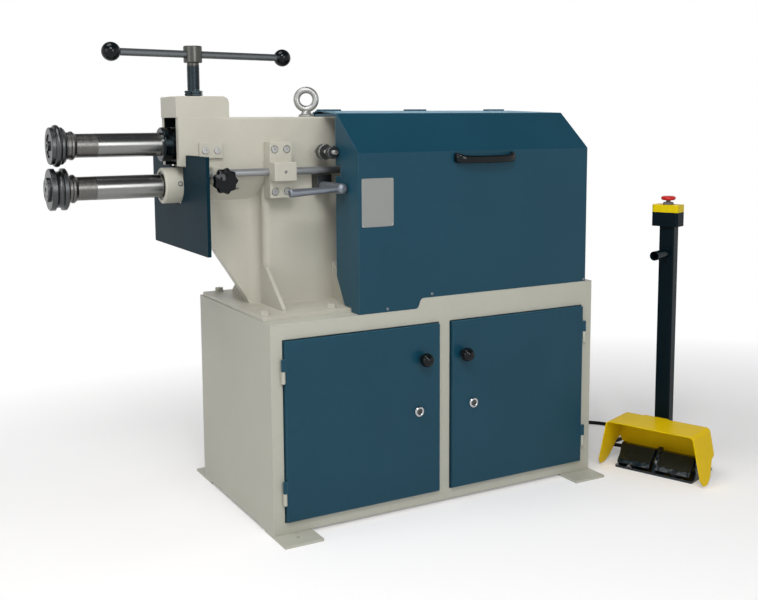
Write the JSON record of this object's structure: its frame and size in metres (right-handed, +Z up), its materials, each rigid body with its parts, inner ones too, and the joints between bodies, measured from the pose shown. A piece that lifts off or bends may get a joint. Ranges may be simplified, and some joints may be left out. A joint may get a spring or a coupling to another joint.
{
  "type": "roll forming machine",
  "caption": "Power beading and roll forming machine: paired overhung rolls on a cast frame with lift screw, depth stop and hood, on a two-door cabinet, with a corded foot control.",
  "frame": {"origin": "on the floor, in the middle of the four floor-bolt holes of the cabinet's feet", "axes": "+X along the spindles from the rolls toward the motor, +Y away from the doors, +Z up"},
  "size_m": [2.1741, 1.0242, 1.4575],
  "materials": {
    "cream_paint": "semi-gloss",
    "blue_paint": "gloss",
    "slate_paint": "semi-gloss",
    "black_paint": "gloss",
    "yellow_paint": "semi-gloss",
    "grey_paint": "satin",
    "bright_steel": "ground",
    "dark_steel": "blackened",
    "zinc_steel": "zinc plated",
    "chrome": "polished",
    "cast_iron": "machined",
    "bronze": "machined",
    "coupling_alloy": "turned",
    "black_plastic": "gloss",
    "black_casing": "matte",
    "yellow_plastic": "satin",
    "red_plastic": "satin",
    "cord_rubber": "matte"
  },
  "bodies": {
    "frame": {"floor_feet": "cream_paint", "cabinet_shell": "cream_paint", "cabinet_front_frame": "cream_paint", "cabinet_top": "cream_paint", "control_box": "grey_paint", "machine_casting": "cream_paint", "base_bolts": "zinc_steel", "lower_spindle_bushes": "dark_steel", "bearing_stand": "cast_iron", "lift_nut": "bronze", "rod_bracket": "cream_paint", "socket_screws": "zinc_steel", "eye_bolt": "zinc_steel", "lever_block": "dark_steel", "drive_stand": "cream_paint", "gearbox": "grey_paint", "drive_motor": "grey_paint", "rear_hood_cover": "blue_paint", "station_base": "black_paint", "pedal_guard": "yellow_paint", "station_mast": "black_paint", "button_box": "black_casing", "button_box_cover": "yellow_plastic", "cord_glands": "black_plastic", "foot_cord": "cord_rubber"},
    "carrier": {"upper_bearing_block": "dark_steel", "upper_swivel_bearing": "bright_steel"},
    "upper_spindle": {"upper_shaft": "bright_steel", "upper_roll": "dark_steel", "upper_spacer": "dark_steel", "upper_roll_nut": "dark_steel", "upper_gear": "cast_iron"},
    "lower_spindle": {"lower_shaft": "bright_steel", "lower_roll": "dark_steel", "lower_spacer": "dark_steel", "lower_roll_cap": "dark_steel", "lower_gear": "cast_iron", "shaft_coupling": "coupling_alloy"},
    "pad": {"thrust_pad": "dark_steel"},
    "screw": {"lift_screw": "dark_steel", "screw_jam_nuts": "zinc_steel"},
    "bar": {"tommy_bar": "dark_steel", "bar_balls": "black_plastic"},
    "depth_stop": {"stop_plate": "slate_paint", "stop_rod": "bright_steel"},
    "stop_clamp": {"star_knob": "black_plastic"},
    "lever": {"clamp_lever": "zinc_steel"},
    "adjuster": {"side_adjuster": "dark_steel"},
    "lock_ring": {"adjuster_ring": "dark_steel"},
    "hood": {"hood_shell": "blue_paint", "hood_handle": "black_plastic"},
    "left_door": {"door_left": "blue_paint", "door_knob_left": "black_plastic"},
    "right_door": {"door_right": "blue_paint", "door_knob_right": "black_plastic"},
    "left_cam": {"cam_lock_left": "chrome"},
    "right_cam": {"cam_lock_right": "chrome"},
    "left_pedal": {"pedal_left": "black_paint"},
    "right_pedal": {"pedal_right": "black_paint"},
    "stop_button": {"emergency_button": "red_plastic"}
  },
  "joints": [
    {"name": "screw_turn", "type": "hinge", "parent": "pad", "child": "screw", "pos_m": [-0.7, 0.02, 1.35], "axis": [0, 0, 1], "range_deg": [-190, 1260]},
    {"name": "pad_slide", "type": "slide", "parent": "frame", "child": "pad", "axis": [0, 0, 1], "range_m": [-0.00215, 0.0141]},
    {"name": "carrier_tilt", "type": "hinge", "parent": "frame", "child": "carrier", "pos_m": [-0.14, 0.02, 1.162], "axis": [0, 1, 0], "range_deg": [-0.22, 1.45]},
    {"name": "bar_slide", "type": "slide", "parent": "screw", "child": "bar", "axis": [0.9857, 0.1685, 0], "range_m": [-0.265, 0.205]},
    {"name": "lower_spin", "type": "hinge", "parent": "frame", "child": "lower_spindle", "pos_m": [-0.6, 0.02, 1.038], "axis": [1, 0, 0], "continuous": true},
    {"name": "upper_spin", "type": "hinge", "parent": "carrier", "child": "upper_spindle", "pos_m": [-0.6, 0.02, 1.162], "axis": [1, 0, 0], "continuous": true},
    {"name": "stop_slide", "type": "slide", "parent": "frame", "child": "depth_stop", "axis": [-1, 0, 0], "range_m": [0, 0.11]},
    {"name": "star_turn", "type": "hinge", "parent": "frame", "child": "stop_clamp", "pos_m": [-0.673, -0.16, 1.056], "axis": [0, -1, 0], "range_deg": [0, 360]},
    {"name": "lever_turn", "type": "hinge", "parent": "frame", "child": "lever", "pos_m": [-0.325, -0.15, 1.024], "axis": [0, -1, 0], "range_deg": [-60, 60]},
    {"name": "adjuster_turn", "type": "hinge", "parent": "frame", "child": "adjuster", "pos_m": [-0.328, -0.15, 1.133], "axis": [0, -1, 0], "range_deg": [-180, 180]},
    {"name": "ring_turn", "type": "hinge", "parent": "frame", "child": "lock_ring", "pos_m": [-0.328, -0.11, 1.133], "axis": [0, -1, 0], "range_deg": [-90, 90]},
    {"name": "hood_lift", "type": "hinge", "parent": "frame", "child": "hood", "pos_m": [0.132, 0.15, 1.262], "axis": [-1, 0, 0], "range_deg": [0, 75]},
    {"name": "left_door_swing", "type": "hinge", "parent": "frame", "child": "left_door", "pos_m": [-0.566, -0.312, 0.32], "axis": [0, 0, -1], "range_deg": [0, 110]},
    {"name": "right_door_swing", "type": "hinge", "parent": "frame", "child": "right_door", "pos_m": [0.561, -0.312, 0.32], "axis": [0, 0, 1], "range_deg": [0, 110]},
    {"name": "left_cam_turn", "type": "hinge", "parent": "left_door", "child": "left_cam", "pos_m": [-0.1055, -0.3, 0.32], "axis": [0, -1, 0], "range_deg": [0, 90]},
    {"name": "right_cam_turn", "type": "hinge", "parent": "right_door", "child": "right_cam", "pos_m": [0.1, -0.3, 0.32], "axis": [0, 1, 0], "range_deg": [0, 90]},
    {"name": "left_pedal_press", "type": "hinge", "parent": "frame", "child": "left_pedal", "pos_m": [0.79504, -0.36015, 0.066], "axis": [0.3649, -0.9311, 0], "range_deg": [0, 8], "stiffness_Nm_per_rad": 6, "springref_deg": -8.59},
    {"name": "right_pedal_press", "type": "hinge", "parent": "frame", "child": "right_pedal", "pos_m": [0.84758, -0.49422, 0.066], "axis": [0.3649, -0.9311, 0], "range_deg": [0, 8], "stiffness_Nm_per_rad": 6, "springref_deg": -8.59},
    {"name": "button_press", "type": "slide", "parent": "frame", "child": "stop_button", "axis": [0, 0, -1], "range_m": [0, 0.005], "stiffness_N_per_m": 800, "springref_m": -0.004}
  ],
  "couplings": [
    {"joint": "pad_slide", "follows": "screw_turn", "m_per_rad": 0.00063662},
    {"joint": "carrier_tilt", "follows": "screw_turn", "ratio": 0.0011368},
    {"joint": "upper_spin", "follows": "lower_spin", "ratio": -1}
  ]
}
